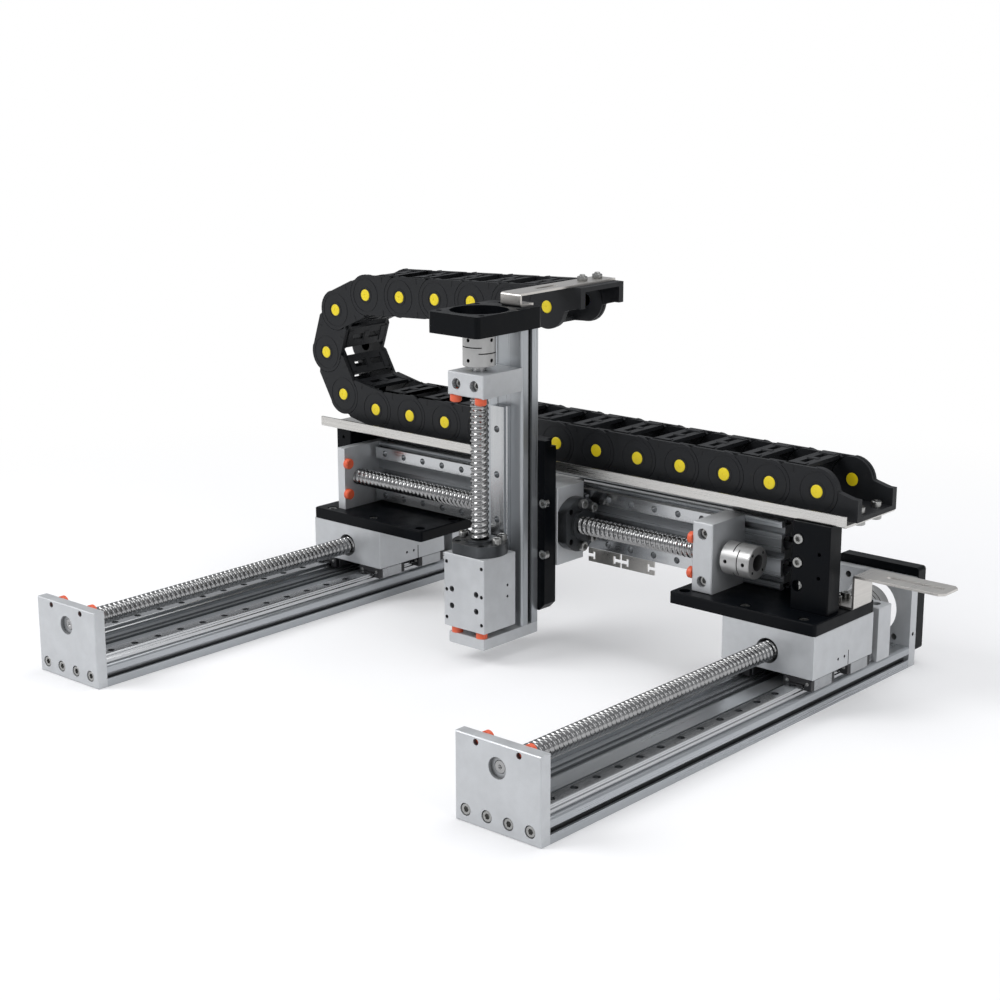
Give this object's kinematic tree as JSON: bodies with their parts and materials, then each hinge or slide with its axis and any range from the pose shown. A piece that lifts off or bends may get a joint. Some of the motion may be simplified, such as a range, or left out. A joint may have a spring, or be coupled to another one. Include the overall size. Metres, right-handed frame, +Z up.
{
  "type": "three axis gantry robot",
  "caption": "Ball-screw gantry robot: two floor rails carry a bridge beam with a drag chain and an upright tool axis.",
  "frame": {"origin": "middle of the footprint, on the floor", "axes": "+X along the bridge beam away from the chain loop, -Y towards the tool axis, +Z up"},
  "size_m": [0.6923, 0.512, 0.3217],
  "materials": {
    "plate_silver": "fine matt silver anodised",
    "profile_aluminium": "drawn, semi-gloss natural anodised",
    "rail_steel": "ground bright",
    "block_steel": "ground with black end caps",
    "screw_steel": "rolled bright thread",
    "nut_steel": "dark ground",
    "coupling_silver": "matt silver",
    "bumper_red": "smooth red rubber",
    "plate_black": "black anodised, soft gloss",
    "tray_brushed": "brushed",
    "sheet_stainless": "brushed stainless",
    "chain_plastic": "charcoal moulded",
    "cap_yellow": "yellow moulded",
    "screw_bright": "bright zinc"
  },
  "bodies": {
    "base": {"y_left_profile": "profile_aluminium", "y_left_end_plate": "plate_silver", "y_left_bearing_block": "plate_silver", "y_right_profile": "profile_aluminium", "y_right_end_plate": "plate_silver", "y_right_bearing_block": "plate_silver", "y_rails": "rail_steel", "y_bumpers": "bumper_red", "y_rear_plates": "plate_silver", "y_motor_plates": "plate_black", "screws_floor": "screw_bright"},
    "y_left_screw": {"y_left_screw": "screw_steel", "y_left_coupling": "coupling_silver"},
    "y_right_screw": {"y_right_screw": "screw_steel", "y_right_coupling": "coupling_silver"},
    "bridge": {"y_left_nut": "nut_steel", "y_left_carriage": "plate_silver", "y_right_nut": "nut_steel", "y_right_carriage": "plate_silver", "y_guide_blocks": "block_steel", "base_plates": "plate_black", "uprights": "plate_black", "upright_cheek": "plate_black", "chain_tray": "tray_brushed", "slotted_bracket": "sheet_stainless", "screws_bridge": "screw_bright", "x_beam": "profile_aluminium", "x_rails": "rail_steel", "x_end_plate": "plate_silver", "x_bearing_block": "plate_silver", "x_bumpers": "bumper_red", "x_sensor_flags": "sheet_stainless", "chain_fixed_end": "chain_plastic", "chain_links_lower": "chain_plastic", "chain_pins_lower": "cap_yellow"},
    "x_screw": {"x_screw": "screw_steel", "x_coupling": "coupling_silver"},
    "chain_loop": {"chain_links_loop": "chain_plastic", "chain_pins_loop": "cap_yellow"},
    "cross_slide": {"x_nut": "nut_steel", "x_carriage": "plate_silver", "x_guide_blocks": "block_steel", "z_mount_plate": "plate_black", "z_column": "profile_aluminium", "z_rail": "rail_steel", "z_foot_plate": "plate_silver", "z_head_block": "plate_silver", "z_motor_plate": "plate_black", "z_bumpers": "bumper_red", "chain_links_upper": "chain_plastic", "chain_pins_upper": "cap_yellow", "chain_moving_end": "chain_plastic", "chain_arm": "sheet_stainless", "screws_cross": "screw_bright"},
    "z_screw": {"z_screw": "screw_steel", "z_coupling": "coupling_silver"},
    "tool_slide": {"z_nut": "nut_steel", "z_carriage": "plate_silver", "z_guide_block": "block_steel", "screws_tool": "screw_bright"}
  },
  "joints": [
    {"name": "y_slide", "type": "slide", "parent": "base", "child": "bridge", "axis": [0, 1, 0], "range_m": [-0.31, 0]},
    {"name": "y_left_screw_turn", "type": "hinge", "parent": "base", "child": "y_left_screw", "pos_m": [-0.25884, -0.006, 0.048], "axis": [0, 1, 0], "range_deg": [-10, 22330]},
    {"name": "y_right_screw_turn", "type": "hinge", "parent": "base", "child": "y_right_screw", "pos_m": [0.22116, -0.006, 0.048], "axis": [0, 1, 0], "range_deg": [-10, 22330]},
    {"name": "x_slide", "type": "slide", "parent": "bridge", "child": "cross_slide", "axis": [1, 0, 0], "range_m": [-0.09, 0.09]},
    {"name": "x_screw_turn", "type": "hinge", "parent": "bridge", "child": "x_screw", "pos_m": [-0.01884, 0.1036, 0.1085], "axis": [1, 0, 0], "range_deg": [-6490, 6490]},
    {"name": "chain_loop_slide", "type": "slide", "parent": "bridge", "child": "chain_loop", "axis": [1, 0, 0], "range_m": [-0.046, 0.046], "deforming": ["chain_links_loop", "chain_pins_loop"]},
    {"name": "z_slide", "type": "slide", "parent": "cross_slide", "child": "tool_slide", "axis": [0, 0, 1], "range_m": [0, 0.118]},
    {"name": "z_screw_turn", "type": "hinge", "parent": "cross_slide", "child": "z_screw", "pos_m": [-0.03584, 0.0151, 0.15], "axis": [0, 0, 1], "range_deg": [-8506, 10]}
  ],
  "couplings": [
    {"joint": "y_left_screw_turn", "follows": "y_slide", "rad_per_m": -1256.6},
    {"joint": "y_right_screw_turn", "follows": "y_slide", "rad_per_m": -1256.6},
    {"joint": "x_screw_turn", "follows": "x_slide", "rad_per_m": -1256.6},
    {"joint": "chain_loop_slide", "follows": "x_slide", "ratio": 0.5},
    {"joint": "z_screw_turn", "follows": "z_slide", "rad_per_m": -1256.6}
  ]
}
